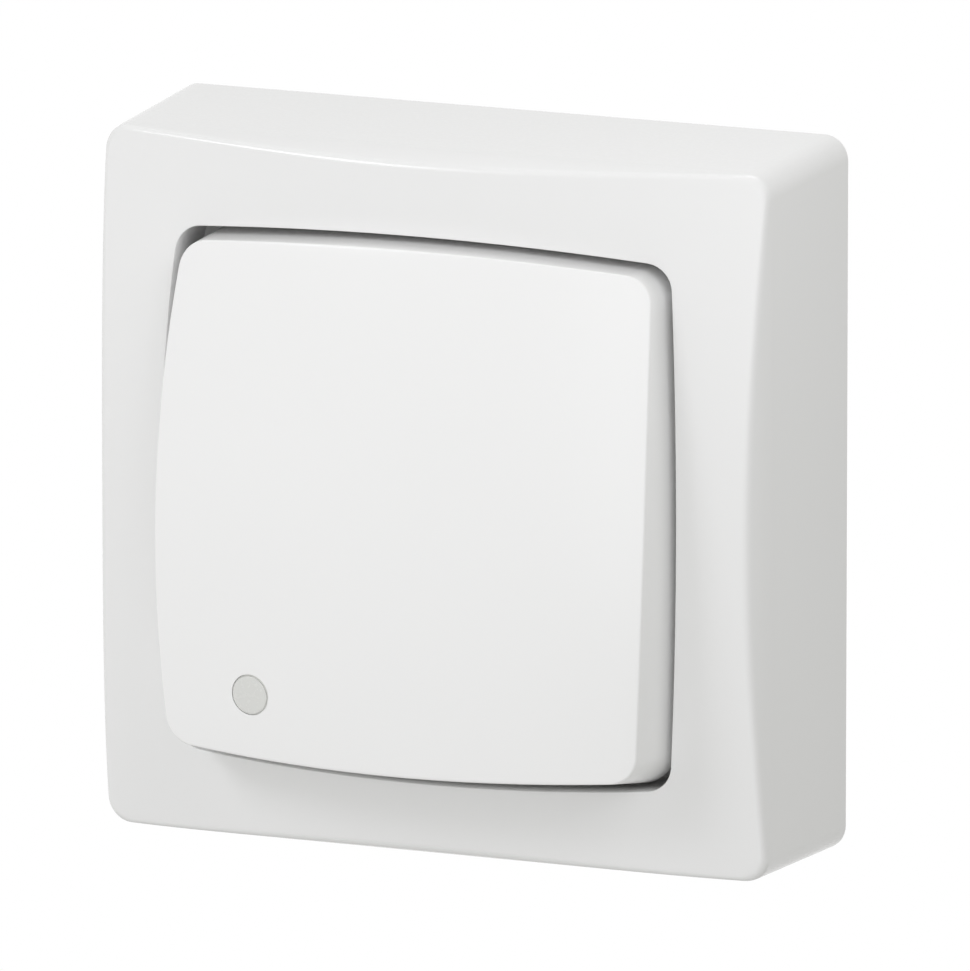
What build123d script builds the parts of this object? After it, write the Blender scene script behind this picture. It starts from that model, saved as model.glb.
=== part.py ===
from build123d import *
import os
from math import cos, radians, sin, sqrt, tan

# A square surface-mounted wall pushbutton: a domed surround clipped to a wall base, a pillow-shaped key that
# rocks about a level axis, and under it the spring-return mechanism that closes one contact.
# X runs to the right, Z up the wall and Y into it. The wall is the plane Y = 0, and every height below is
# measured out from it, towards the user. The origin is the centre of the back.

# Surround, as seen from the front and in section
frame_width = 75.0
frame_draft = 1.85
frame_corner_radius = 2.6
frame_wall = 2.0
shoulder_height = 18.8
shoulder_radius = 11.7
shoulder_turn = 55.0
front_height = 26.4
front_dome_radius = 206.0
ridge_radius = 0.9
inner_corner_radius = 1.0

# Opening in the surround, and the collar behind it with a ledge below the key's skirt
opening_width = 57.2
opening_bow = 1.3
opening_corner_radius = 3.0
opening_edge_radius = 0.15
collar_wall = 1.5
collar_height = 14.0
ledge_width = 2.2
ledge_thickness = 1.5

# Key and the axis it rocks about
key_gap = 1.45
key_bow = 1.45
key_corner_radius = 3.0
key_draft = 5.5
key_wall = 2.0
key_edge_radius = 0.3
key_face_height = 32.72
key_dome_radius = 118.0
key_skirt_length = 14.22
key_rib_thickness = 1.0
key_rib_depth = 1.6
pivot_depth = 11.22
rest_tilt = 4.56
press_angle = 7.0

# Indicator lens, placed on the key's face
lens_x = -15.72
lens_z = -19.96
lens_diameter = 4.1
lens_ring_gap = 0.1
lens_recess = 0.06
lens_boss_wall = 1.4
lens_boss_depth = 6.32
lens_flange_thickness = 0.9
lens_flange_lap = 1.0
lens_stem_diameter = 3.0
lens_stem_length = 2.6

# Cradle under the key, with its two trunnions and the nose that works the plunger
cradle_width = 24.0
cradle_margin = 1.0
cradle_thickness = 1.8
cradle_clearance = 0.35
cradle_corner_radius = 2.0
arm_spacing = 21.0
arm_thickness = 2.0
arm_radius = 2.6
trunnion_radius = 1.6
trunnion_length = 3.2
nose_arm = 14.0
nose_drop = 3.2
nose_radius = 1.5
nose_width = 3.6

# Feet and snap legs that fix the key to the cradle
foot_spacing_x = 16.0
foot_spacing_z = 22.0
foot_radius = 1.9
leg_spacing = 10.0
leg_thickness = 1.4
leg_width = 5.0
leg_barb = 0.6
leg_barb_height = 1.0

# Wall base with its rim, fixing slots and cable entry
base_clearance = 0.2
base_thickness = 2.0
base_corner_radius = 1.2
rim_thickness = 1.5
rim_height = 7.0
fixing_spacing = 58.0
fixing_slot_width = 4.4
fixing_slot_length = 8.0
cable_entry_width = 24.0
cable_entry_length = 8.5
cable_entry_z = -27.6
cable_entry_radius = 2.0
head_recess_margin = 2.0
head_recess_depth = 0.8
back_hollow_depth = 0.6
back_rib = 4.0
back_margin = 4.4
guide_height = 2.5
guide_wall = 1.2
guide_length = 7.0
rim_gap_sill = 1.0

# Cable knock-outs: thin patches inside the surround, and the gaps behind them in the base's rim
knockout_width = 14.0
knockout_height = 10.0
knockout_wall = 0.8

# Catches that hold the surround on the base
catch_spacing = 36.0
catch_width = 8.0
catch_reach = 0.9
catch_root = 0.5
catch_lip = 0.3
catch_thickness = 2.0
catch_height = 6.6

# Mechanism body, cover and the two screws that hold them on the base
body_width = 44.0
body_length = 42.0
body_wall = 1.5
body_corner_radius = 1.5
cover_thickness = 1.6
ear_rise = 5.9
ear_spacing = 26.6
ear_thickness = 2.8
ear_wall = 1.2
ear_flare = 1.6
screw_spacing = 28.0
screw_z = 14.0
screw_radius = 1.5
screw_head_radius = 2.75
screw_head_height = 1.8
screw_slot_width = 0.8
screw_slot_depth = 0.9
screw_end_height = 2.8
screw_tip_clearance = 0.4
pillar_wall = 1.2
boss_height = 4.0
boss_wall = 1.2

# Plunger, its springs and the contact bridge
guide_clearance = 0.05
stem_radius = 2.5
plunger_width = 8.0
bridge_drop = 3.0
window_height = 1.8
spring_seat_wall = 0.9
plunger_foot_clearance = 1.3
return_spring_radius = 1.7
return_spring_wire = 0.24
return_spring_turns = 5
contact_spring_radius = 1.25
contact_spring_wire = 0.2
contact_spring_turns = 4
wire_sides = 8
spring_pocket_clearance = 0.25
stem_cap = 1.2
bridge_length = 16.0
bridge_width = 4.0
bridge_thickness = 0.5
tip_inset = 1.5
tip_radius = 1.2
tip_height = 0.8
tip_crown_radius = 0.3

# Fixed contacts and terminals
strip_inner = 5.0
strip_outer = 18.0
strip_width = 5.0
strip_thickness = 0.7
strip_corner_radius = 0.8
pedestal_width = 9.0
terminal_spacing = 28.0
terminal_width = 7.0
terminal_length = 8.0
wire_bore_radius = 1.4
wire_entry_radius = 1.8
wire_entry_chamfer = 0.6
terminal_guide_thickness = 1.0
terminal_guide_lap = 1.2
terminal_cap = 0.8
terminal_screw_radius = 1.4
terminal_head_radius = 2.3
terminal_head_height = 1.6
terminal_screw_standoff = 0.4
access_radius = 2.9

# Indicator lamp and its holder
lamp_radius = 1.5
lamp_end_radius = 1.2
holder_width = 9.0
holder_length = 3.6
holder_floor = 0.9
holder_cheek = 1.2
holder_z = -18.9
lead_radius = 0.3
lead_length = 1.8

# Clearances shared by the fits
running_clearance = 0.05
seat_clearance = 0.06
fit_clearance = 0.15

# Heights and half widths that follow from the sizes above
frame_half = frame_width / 2
opening_half = opening_width / 2
ledge_height = collar_height + ledge_thickness
key_half = opening_half - key_gap
key_skirt_height = key_face_height - key_skirt_length
key_edge_height = key_face_height - key_dome_radius + sqrt(key_dome_radius**2 - key_half**2)
pivot_height = key_face_height - pivot_depth
lens_boss_height = key_face_height - lens_boss_depth
ear_radius = trunnion_radius + running_clearance + ear_wall
cradle_height = pivot_height + ear_radius + cradle_clearance
cradle_length = 2 * (nose_arm + nose_radius + cradle_margin)
body_floor_height = base_thickness + body_wall
cover_top = pivot_height - ear_rise
body_top = cover_top - cover_thickness
body_depth = body_top - base_thickness
cradle_top = cradle_height + cradle_thickness
plunger_z = -nose_arm
plunger_travel = nose_arm * radians(press_angle)
plunger_shoulder = body_top - seat_clearance
bridge_height = body_top - bridge_drop
tip_spacing = bridge_length - 2 * tip_inset
strip_top = bridge_height - 2 * tip_height - plunger_travel - seat_clearance
terminal_top = body_top - terminal_cap
terminal_guide_spacing = terminal_width + 2 * fit_clearance + terminal_guide_thickness
terminal_guide_end = plunger_z - terminal_length / 2 + terminal_guide_lap
terminal_guide_length = terminal_guide_end + body_length / 2 - body_wall
terminal_guide_z = terminal_guide_end - terminal_guide_length / 2
terminal_head_seat = terminal_top + terminal_screw_standoff
wire_bore_height = strip_top + terminal_cap + wire_bore_radius
terminal_screw_tip = wire_bore_height + wire_bore_radius
rim_top = base_thickness + rim_height
base_half = frame_half - frame_wall - rim_top * tan(radians(frame_draft)) - base_clearance
base_width = 2 * base_half
hollow_width = (fixing_spacing - fixing_slot_length) / 2 - head_recess_margin - back_rib / 2
hollow_length = base_half - back_margin - back_rib / 2
upper_hollow_z = (hollow_length + back_rib) / 2
catch_wall_half = frame_half - frame_wall - catch_height * tan(radians(frame_draft))
plunger_foot = body_floor_height + plunger_travel + plunger_foot_clearance
return_spring_seat = bridge_height - spring_seat_wall
boss_radius = screw_radius + running_clearance + boss_wall
pillar_radius = boss_radius + fit_clearance + pillar_wall
lens_hole_radius = lens_diameter / 2 + lens_ring_gap
lamp_height = cover_top + holder_floor + seat_clearance + lamp_radius
lamp_length = holder_width - 2 * holder_cheek - 2 * fit_clearance
nose_tip_height = (
    pivot_height
    - nose_drop * cos(radians(rest_tilt))
    + nose_arm * sin(radians(rest_tilt))
    - nose_radius
)
plunger_top = nose_tip_height - seat_clearance


def at_height(height):
    """Plane parallel to the wall, the given height out from it."""
    return Plane.XZ.offset(height)


def key_level(height):
    """Plane across the key at its rest tilt; the height is the one it has when the key is level."""
    forward = (0, -cos(radians(rest_tilt)), sin(radians(rest_tilt)))
    pivot_plane = Plane(origin=(0, -pivot_height, 0), x_dir=(1, 0, 0), z_dir=forward)
    return pivot_plane.offset(height - pivot_height)


def side_level(x):
    """Plane square to the rocking axis, with its local y pointing out from the key's face."""
    across = key_level(pivot_height)
    return Plane(origin=across.origin + Vector(x, 0, 0), x_dir=across.y_dir, z_dir=(1, 0, 0))


def barrel_outline(half, bow, corner_radius):
    """Square outline whose four sides swell outwards by the bow."""
    corner = half - bow
    with BuildSketch() as outline:
        with BuildLine():
            ThreePointArc((corner, -corner), (half, 0), (corner, corner))
            ThreePointArc((corner, corner), (0, half), (-corner, corner))
            ThreePointArc((-corner, corner), (-half, 0), (-corner, -corner))
            ThreePointArc((-corner, -corner), (0, -half), (corner, -corner))
        make_face()
        fillet(outline.vertices(), corner_radius)
    return outline.sketch


def key_outline(height, inset):
    """Outline of the key's drafted sides at a height, moved in by the inset."""
    flare = (key_edge_height - height) * tan(radians(key_draft))
    return barrel_outline(key_half + flare - inset, key_bow, key_corner_radius + flare)


def surround_section(inset):
    """Section of the surround: drafted sides that roll over at the shoulder, all moved in by the inset."""
    foot = frame_half - inset
    with BuildSketch() as section:
        with BuildLine():
            side = Line((foot, 0), (foot - shoulder_height * tan(radians(frame_draft)), shoulder_height))
            shoulder = JernArc(side @ 1, side % 1, shoulder_radius - inset, shoulder_turn)
            crown = Line(shoulder @ 1, (0, (shoulder @ 1).Y))
            middle = Line(crown @ 1, (0, 0))
            Line(middle @ 1, side @ 0)
        make_face()
        mirror(about=Plane.YZ)
    return section.sketch


def corner_edges(part):
    """Edges that run forward up the four corners of a square block."""
    reach = frame_width / 4
    return part.edges().filter_by(lambda edge: abs(edge.center().X) > reach and abs(edge.center().Z) > reach)


os.makedirs("parts", exist_ok=True)
section_across = Plane(origin=(0, 0, 0), x_dir=(1, 0, 0), z_dir=(0, 0, -1))
section_upright = Plane(origin=(0, 0, 0), x_dir=(0, 0, 1), z_dir=(1, 0, 0))
front_dome_centre = at_height(front_height - front_dome_radius).origin
key_dome_centre = key_level(key_face_height - key_dome_radius).origin

# Hollow of the surround, with the collar of the opening standing in it
with BuildPart() as frame_hollow:
    with BuildSketch(section_across):
        add(surround_section(frame_wall))
    extrude(amount=frame_width, both=True)
    with BuildSketch(section_upright):
        add(surround_section(frame_wall))
    extrude(amount=frame_width, both=True, mode=Mode.INTERSECT)
    fillet(corner_edges(frame_hollow), inner_corner_radius)
    with Locations(front_dome_centre):
        Sphere(front_dome_radius - frame_wall, mode=Mode.INTERSECT)
    with BuildSketch(at_height(collar_height)):
        add(barrel_outline(opening_half + collar_wall, opening_bow, opening_corner_radius + collar_wall))
    extrude(amount=front_height, mode=Mode.SUBTRACT)

# Surround: one moulding, domed in front, with a crisp barrel-shaped opening and four inner catches
with BuildPart() as frame:
    with BuildSketch(section_across):
        add(surround_section(0))
    extrude(amount=frame_width, both=True)
    with BuildSketch(section_upright):
        add(surround_section(0))
    extrude(amount=frame_width, both=True, mode=Mode.INTERSECT)
    fillet(corner_edges(frame), frame_corner_radius)
    with Locations(front_dome_centre):
        Sphere(front_dome_radius, mode=Mode.INTERSECT)
    fillet(frame.faces().sort_by(Axis.Y)[0].edges(), ridge_radius)
    add(frame_hollow.part, mode=Mode.SUBTRACT)
    with BuildSketch(at_height(ledge_height)):
        add(barrel_outline(opening_half, opening_bow, opening_corner_radius))
    extrude(amount=front_height, mode=Mode.SUBTRACT)
    with BuildSketch(Plane.XZ):
        add(barrel_outline(opening_half - ledge_width, opening_bow, opening_corner_radius))
    extrude(amount=front_height, mode=Mode.SUBTRACT)
    opening_rim = frame.faces().sort_by(Axis.Y)[0].inner_wires()[0].edges()
    fillet(opening_rim, opening_edge_radius)
    for across in (-1, 1):
        for upward in (-1, 1):
            with BuildSketch(section_upright.offset(across * catch_spacing / 2)):
                with BuildLine():
                    Polyline(
                        (upward * (catch_wall_half + catch_root), catch_height),
                        (upward * (catch_wall_half - catch_reach), catch_height),
                        (upward * (catch_wall_half - catch_reach), catch_height - catch_lip),
                        (upward * (catch_wall_half + catch_root), catch_height - catch_thickness),
                        close=True,
                    )
                make_face()
            extrude(amount=catch_width / 2, both=True)
    with BuildSketch(Plane.XZ):
        with GridLocations(0, 2 * (frame_half - frame_wall), 1, 2):
            Rectangle(knockout_width, 2 * (frame_wall - knockout_wall))
    extrude(amount=knockout_height, mode=Mode.SUBTRACT)
frame.part.label = "frame"
export_step(frame.part, "parts/frame.step")

# Hollow of the key
with BuildPart() as key_hollow:
    with BuildSketch(key_level(key_skirt_height)):
        add(key_outline(key_skirt_height, key_wall))
    with BuildSketch(key_level(key_face_height)):
        add(key_outline(key_face_height, key_wall))
    loft()
    with Locations(key_dome_centre):
        Sphere(key_dome_radius - key_wall, mode=Mode.INTERSECT)

# Stiffening ribs that follow the underside of the key's face, in line with its feet
with BuildPart() as key_ribs:
    with BuildSketch(key_level(cradle_top)):
        with GridLocations(foot_spacing_x, 0, 2, 1):
            Rectangle(key_rib_thickness, 2 * key_half - key_wall)
        with GridLocations(0, foot_spacing_z, 1, 2):
            Rectangle(2 * key_half - key_wall, key_rib_thickness)
    extrude(amount=key_face_height - cradle_top)
    with Locations(key_dome_centre):
        Sphere(key_dome_radius - key_wall - key_rib_depth, mode=Mode.SUBTRACT)

# Key: one pillow-shaped moulding with drafted sides, feet that stand on the cradle, two snap legs and a
# boss for the lens
with BuildPart() as key:
    with BuildSketch(key_level(key_skirt_height)):
        add(key_outline(key_skirt_height, 0))
    with BuildSketch(key_level(key_face_height)):
        add(key_outline(key_face_height, 0))
    loft()
    add(key_hollow.part, mode=Mode.SUBTRACT)
    with BuildSketch(key_level(cradle_top)):
        with GridLocations(foot_spacing_x, foot_spacing_z, 2, 2):
            Circle(foot_radius)
    extrude(amount=key_face_height - cradle_top)
    with BuildSketch(key_level(cradle_height - fit_clearance - leg_barb_height)):
        with GridLocations(leg_spacing, 0, 2, 1):
            Rectangle(leg_thickness, leg_width)
    extrude(amount=key_face_height - cradle_height + fit_clearance + leg_barb_height)
    with BuildSketch(key_level(cradle_height - fit_clearance)):
        with GridLocations(leg_spacing + leg_thickness, 0, 2, 1):
            Rectangle(2 * leg_barb, leg_width)
    extrude(amount=-leg_barb_height)
    with BuildSketch(key_level(lens_boss_height)):
        with Locations((lens_x, lens_z)):
            Circle(lens_hole_radius + lens_boss_wall)
    extrude(amount=key_face_height - lens_boss_height)
    add(key_ribs.part)
    with Locations(key_dome_centre):
        Sphere(key_dome_radius, mode=Mode.INTERSECT)
    fillet(key.faces().sort_by(Axis.Y)[0].outer_wire().edges(), key_edge_radius)
    with BuildSketch(key_level(lens_boss_height)):
        with Locations((lens_x, lens_z)):
            Circle(lens_hole_radius)
    extrude(amount=key_face_height - lens_boss_height, mode=Mode.SUBTRACT)
key.part.label = "key"
export_step(key.part, "parts/key.step")

# Indicator lens: a light guide pushed into its boss from behind, its front following the key's face
with BuildPart() as indicator_lens:
    with BuildSketch(key_level(lens_boss_height)):
        with Locations((lens_x, lens_z)):
            Circle(lens_diameter / 2)
    extrude(amount=key_face_height - lens_boss_height)
    with Locations(key_dome_centre):
        Sphere(key_dome_radius - lens_recess, mode=Mode.INTERSECT)
    with BuildSketch(key_level(lens_boss_height)):
        with Locations((lens_x, lens_z)):
            Circle(lens_hole_radius + lens_flange_lap)
    extrude(amount=-lens_flange_thickness)
    with BuildSketch(key_level(lens_boss_height - lens_flange_thickness)):
        with Locations((lens_x, lens_z)):
            Circle(lens_stem_diameter / 2)
    extrude(amount=-lens_stem_length)
indicator_lens.part.label = "indicator_lens"
export_step(indicator_lens.part, "parts/indicator_lens.step")

# Cradle: carries the key on two trunnions, and presses the plunger with its nose
with BuildPart() as rocker_cradle:
    with BuildSketch(key_level(cradle_height)):
        RectangleRounded(cradle_width, cradle_length, cradle_corner_radius)
        with GridLocations(leg_spacing + leg_barb, 0, 2, 1):
            Rectangle(
                leg_thickness + leg_barb + 2 * fit_clearance,
                leg_width + 2 * fit_clearance,
                mode=Mode.SUBTRACT,
            )
    extrude(amount=cradle_thickness)
    plate_rise = cradle_height - pivot_height
    for side in (-1, 1):
        with BuildSketch(side_level(side * arm_spacing / 2)):
            Circle(arm_radius)
            with Locations((0, plate_rise / 2)):
                Rectangle(2 * arm_radius, plate_rise)
        extrude(amount=arm_thickness / 2, both=True)
        with BuildSketch(side_level(side * (arm_spacing + arm_thickness) / 2)):
            Circle(trunnion_radius)
        extrude(amount=side * trunnion_length)
    with BuildSketch(side_level(0)):
        with Locations((-nose_arm, -nose_drop)):
            Circle(nose_radius)
        with Locations((-nose_arm, (plate_rise - nose_drop) / 2)):
            Rectangle(2 * nose_radius, plate_rise + nose_drop)
    extrude(amount=nose_width / 2, both=True)
rocker_cradle.part.label = "rocker_cradle"
export_step(rocker_cradle.part, "parts/rocker_cradle.step")

# Base: back plate with a rim inside the surround, wall-fixing slots, a cable entry and two screw bosses
with BuildPart() as base:
    with BuildSketch(Plane.XZ):
        RectangleRounded(base_width, base_width, base_corner_radius)
        with GridLocations(fixing_spacing, 0, 2, 1):
            SlotOverall(fixing_slot_length, fixing_slot_width, mode=Mode.SUBTRACT)
        with Locations((0, cable_entry_z)):
            RectangleRounded(cable_entry_width, cable_entry_length, cable_entry_radius, mode=Mode.SUBTRACT)
    extrude(amount=base_thickness)
    with BuildSketch(at_height(base_thickness)):
        RectangleRounded(base_width, base_width, base_corner_radius)
        Rectangle(base_width - 2 * rim_thickness, base_width - 2 * rim_thickness, mode=Mode.SUBTRACT)
    extrude(amount=rim_height)
    with BuildSketch(at_height(catch_height + seat_clearance)):
        with GridLocations(catch_spacing, base_width - rim_thickness, 2, 2):
            Rectangle(catch_width + 2 * fit_clearance, 2 * rim_thickness)
    extrude(amount=-catch_thickness - seat_clearance - fit_clearance, mode=Mode.SUBTRACT)
    with BuildSketch(at_height(base_thickness + rim_gap_sill)):
        with GridLocations(0, base_width - rim_thickness, 1, 2):
            Rectangle(knockout_width, 2 * rim_thickness)
    extrude(amount=rim_height, mode=Mode.SUBTRACT)
    with BuildSketch(at_height(base_thickness)):
        with GridLocations(fixing_spacing, 0, 2, 1):
            SlotOverall(
                fixing_slot_length + 2 * head_recess_margin,
                fixing_slot_width + 2 * head_recess_margin,
            )
    extrude(amount=-head_recess_depth, mode=Mode.SUBTRACT)
    with BuildSketch(Plane.XZ):
        with Locations((0, upper_hollow_z), (0, -upper_hollow_z)):
            with GridLocations(hollow_width + back_rib, 0, 2, 1):
                Rectangle(hollow_width, hollow_length)
        with Locations((0, cable_entry_z)):
            Rectangle(base_width, cable_entry_length + 2 * back_margin, mode=Mode.SUBTRACT)
    extrude(amount=back_hollow_depth, mode=Mode.SUBTRACT)
    with BuildSketch(at_height(base_thickness)):
        guide_inside = fit_clearance + guide_wall
        Rectangle(body_width + 2 * guide_inside, body_length + 2 * guide_inside)
        Rectangle(body_width + 2 * fit_clearance, body_length + 2 * fit_clearance, mode=Mode.SUBTRACT)
        Rectangle(body_width - 2 * guide_length, base_width, mode=Mode.SUBTRACT)
        Rectangle(base_width, body_length - 2 * guide_length, mode=Mode.SUBTRACT)
    extrude(amount=guide_height)
    with BuildSketch(at_height(base_thickness)):
        with Locations((-screw_spacing / 2, screw_z), (screw_spacing / 2, screw_z)):
            Circle(boss_radius)
    extrude(amount=boss_height)
    with BuildSketch(at_height(screw_end_height - screw_tip_clearance)):
        with Locations((-screw_spacing / 2, screw_z), (screw_spacing / 2, screw_z)):
            Circle(screw_radius + running_clearance)
    extrude(amount=boss_height, mode=Mode.SUBTRACT)
base.part.label = "base"
export_step(base.part, "parts/base.step")

# Mechanism body: the insulating box that holds the contacts and terminals
with BuildPart() as mechanism_body:
    with BuildSketch(at_height(base_thickness)):
        RectangleRounded(body_width, body_length, body_corner_radius)
    extrude(amount=body_depth)
    with BuildSketch(at_height(body_floor_height)):
        Rectangle(body_width - 2 * body_wall, body_length - 2 * body_wall)
    extrude(amount=body_depth, mode=Mode.SUBTRACT)
    with BuildSketch(at_height(base_thickness)):
        with Locations((-screw_spacing / 2, screw_z), (screw_spacing / 2, screw_z)):
            Circle(pillar_radius)
    extrude(amount=body_depth)
    with BuildSketch(at_height(base_thickness)):
        with Locations((-screw_spacing / 2, screw_z), (screw_spacing / 2, screw_z)):
            Circle(boss_radius + fit_clearance)
    extrude(amount=boss_height + fit_clearance, mode=Mode.SUBTRACT)
    with BuildSketch(at_height(base_thickness)):
        with Locations((-screw_spacing / 2, screw_z), (screw_spacing / 2, screw_z)):
            Circle(screw_radius + fit_clearance)
    extrude(amount=body_depth, mode=Mode.SUBTRACT)
    with BuildSketch(at_height(body_floor_height)):
        with Locations((-terminal_spacing / 2, plunger_z), (terminal_spacing / 2, plunger_z)):
            Rectangle(pedestal_width, strip_width)
    extrude(amount=strip_top - strip_thickness - body_floor_height)
    with BuildSketch(Plane.XY.offset(-body_length / 2)):
        with Locations((-terminal_spacing / 2, -wire_bore_height), (terminal_spacing / 2, -wire_bore_height)):
            Circle(wire_entry_radius)
    extrude(amount=body_wall, mode=Mode.SUBTRACT)
    entry_edges = mechanism_body.faces().sort_by(Axis.Z)[0].inner_wires().edges()
    chamfer(entry_edges, wire_entry_chamfer)
    with BuildSketch(at_height(body_floor_height)):
        with GridLocations(terminal_spacing, 0, 2, 1):
            with Locations((0, terminal_guide_z)):
                with GridLocations(terminal_guide_spacing, 0, 2, 1):
                    Rectangle(terminal_guide_thickness, terminal_guide_length)
    extrude(amount=terminal_top - body_floor_height)
mechanism_body.part.label = "mechanism_body"
export_step(mechanism_body.part, "parts/mechanism_body.step")

# Mechanism cover: closes the body, guides the plunger and bears the trunnions in two ears
with BuildPart() as mechanism_cover:
    with BuildSketch(at_height(body_top)):
        RectangleRounded(body_width, body_length, body_corner_radius)
        with Locations((0, plunger_z)):
            Circle(stem_radius + guide_clearance, mode=Mode.SUBTRACT)
        with Locations((-terminal_spacing / 2, plunger_z), (terminal_spacing / 2, plunger_z)):
            Circle(access_radius, mode=Mode.SUBTRACT)
        with Locations((-screw_spacing / 2, screw_z), (screw_spacing / 2, screw_z)):
            Circle(screw_radius + fit_clearance, mode=Mode.SUBTRACT)
    extrude(amount=cover_thickness)
    for side in (-1, 1):
        with BuildSketch(section_upright.offset(side * ear_spacing / 2)):
            with Locations((0, pivot_height)):
                Circle(ear_radius)
            with BuildLine():
                Polyline(
                    (-ear_radius - ear_flare, cover_top),
                    (ear_radius + ear_flare, cover_top),
                    (ear_radius, pivot_height),
                    (-ear_radius, pivot_height),
                    close=True,
                )
            make_face()
            with Locations((0, pivot_height)):
                Circle(trunnion_radius + running_clearance, mode=Mode.SUBTRACT)
        extrude(amount=ear_thickness / 2, both=True)
mechanism_cover.part.label = "mechanism_cover"
export_step(mechanism_cover.part, "parts/mechanism_cover.step")

# Two slotted screws through the cover and body into the base
with BuildPart() as mechanism_screws:
    with BuildSketch(at_height(screw_end_height)):
        with Locations((-screw_spacing / 2, screw_z), (screw_spacing / 2, screw_z)):
            Circle(screw_radius)
    extrude(amount=cover_top - screw_end_height)
    with BuildSketch(at_height(cover_top)):
        with Locations((-screw_spacing / 2, screw_z), (screw_spacing / 2, screw_z)):
            Circle(screw_head_radius)
    extrude(amount=screw_head_height)
    with BuildSketch(at_height(cover_top + screw_head_height)):
        with Locations((-screw_spacing / 2, screw_z), (screw_spacing / 2, screw_z)):
            Rectangle(2 * screw_head_radius, screw_slot_width)
    extrude(amount=-screw_slot_depth, mode=Mode.SUBTRACT)
mechanism_screws.part.label = "mechanism_screws"
export_step(mechanism_screws.part, "parts/mechanism_screws.step")

# Plunger: slides in the cover, holds the contact bridge in its window and sits on the return spring
with BuildPart() as plunger:
    with BuildSketch(at_height(plunger_foot)):
        with Locations((0, plunger_z)):
            Rectangle(plunger_width, plunger_width)
    extrude(amount=plunger_shoulder - plunger_foot)
    with BuildSketch(at_height(plunger_shoulder)):
        with Locations((0, plunger_z)):
            Circle(stem_radius)
    extrude(amount=plunger_top - plunger_shoulder)
    with BuildSketch(section_upright):
        with Locations((plunger_z, bridge_height + window_height / 2)):
            Rectangle(bridge_width + 2 * fit_clearance, window_height)
    extrude(amount=plunger_width, both=True, mode=Mode.SUBTRACT)
    with BuildSketch(at_height(plunger_foot)):
        with Locations((0, plunger_z)):
            Circle(return_spring_radius + return_spring_wire + spring_pocket_clearance)
    extrude(amount=return_spring_seat - plunger_foot, mode=Mode.SUBTRACT)
    with BuildSketch(at_height(bridge_height)):
        with Locations((0, plunger_z)):
            Circle(contact_spring_radius + contact_spring_wire + spring_pocket_clearance)
    extrude(amount=plunger_top - stem_cap - bridge_height, mode=Mode.SUBTRACT)
plunger.part.label = "plunger"
export_step(plunger.part, "parts/plunger.step")


def coil(seat, head, radius, wire, turns):
    """Round-wire compression spring on the plunger's axis, from its seat to its head."""
    rise = head - seat - 2 * wire - 2 * seat_clearance
    with BuildPart() as spring:
        with BuildLine() as centre_line:
            foot = (0, -seat - wire - seat_clearance, plunger_z)
            Helix(rise / turns, rise, radius, center=foot, direction=(0, -1, 0))
        with BuildSketch(Plane(centre_line.line @ 0, z_dir=centre_line.line % 0)):
            RegularPolygon(wire, wire_sides)
        sweep(is_frenet=True)
    return spring.part


# Return spring under the plunger, and the lighter spring that presses the bridge
return_spring = coil(
    body_floor_height, return_spring_seat, return_spring_radius, return_spring_wire, return_spring_turns
)
return_spring.label = "return_spring"
export_step(return_spring, "parts/return_spring.step")
contact_spring = coil(
    bridge_height + bridge_thickness,
    plunger_top - stem_cap,
    contact_spring_radius,
    contact_spring_wire,
    contact_spring_turns,
)
contact_spring.label = "contact_spring"
export_step(contact_spring, "parts/contact_spring.step")

# Contact bridge: a flat strip across the plunger
with BuildPart() as contact_bridge:
    with BuildSketch(at_height(bridge_height)):
        with Locations((0, plunger_z)):
            SlotOverall(bridge_length, bridge_width)
    extrude(amount=bridge_thickness)
contact_bridge.part.label = "contact_bridge"
export_step(contact_bridge.part, "parts/contact_bridge.step")

# Silver tips, two on the bridge and two facing them on the fixed strips
for tip_name, tip_foot, tip_crown_faces in (
    ("moving_contact_tips", bridge_height - tip_height, slice(-2, None)),
    ("fixed_contact_tips", strip_top, slice(0, 2)),
):
    with BuildPart() as contact_tips:
        with BuildSketch(at_height(tip_foot)):
            with Locations((-tip_spacing / 2, plunger_z), (tip_spacing / 2, plunger_z)):
                Circle(tip_radius)
        extrude(amount=tip_height)
        crown = contact_tips.faces().sort_by(Axis.Y)[tip_crown_faces]
        fillet(crown.edges(), tip_crown_radius)
    contact_tips.part.label = tip_name
    export_step(contact_tips.part, f"parts/{tip_name}.step")

# Fixed contact strip and screw terminal of each side of the circuit
for circuit, side in (("line", -1), ("load", 1)):
    with BuildPart() as fixed_contact:
        with BuildSketch(at_height(strip_top - strip_thickness)):
            with Locations((side * (strip_inner + strip_outer) / 2, plunger_z)):
                RectangleRounded(strip_outer - strip_inner, strip_width, strip_corner_radius)
        extrude(amount=strip_thickness)
    fixed_contact.part.label = f"{circuit}_contact"
    export_step(fixed_contact.part, f"parts/{circuit}_contact.step")

    with BuildPart() as terminal:
        with BuildSketch(at_height(strip_top)):
            with Locations((side * terminal_spacing / 2, plunger_z)):
                Rectangle(terminal_width, terminal_length)
        extrude(amount=terminal_top - strip_top)
        with BuildSketch(Plane.XY.offset(plunger_z)):
            with Locations((side * terminal_spacing / 2, -wire_bore_height)):
                Circle(wire_bore_radius)
        extrude(amount=terminal_length, both=True, mode=Mode.SUBTRACT)
        with BuildSketch(at_height(wire_bore_height)):
            with Locations((side * terminal_spacing / 2, plunger_z)):
                Circle(terminal_screw_radius + running_clearance)
        extrude(amount=terminal_top - wire_bore_height, mode=Mode.SUBTRACT)
    terminal.part.label = f"{circuit}_terminal"
    export_step(terminal.part, f"parts/{circuit}_terminal.step")

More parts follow.
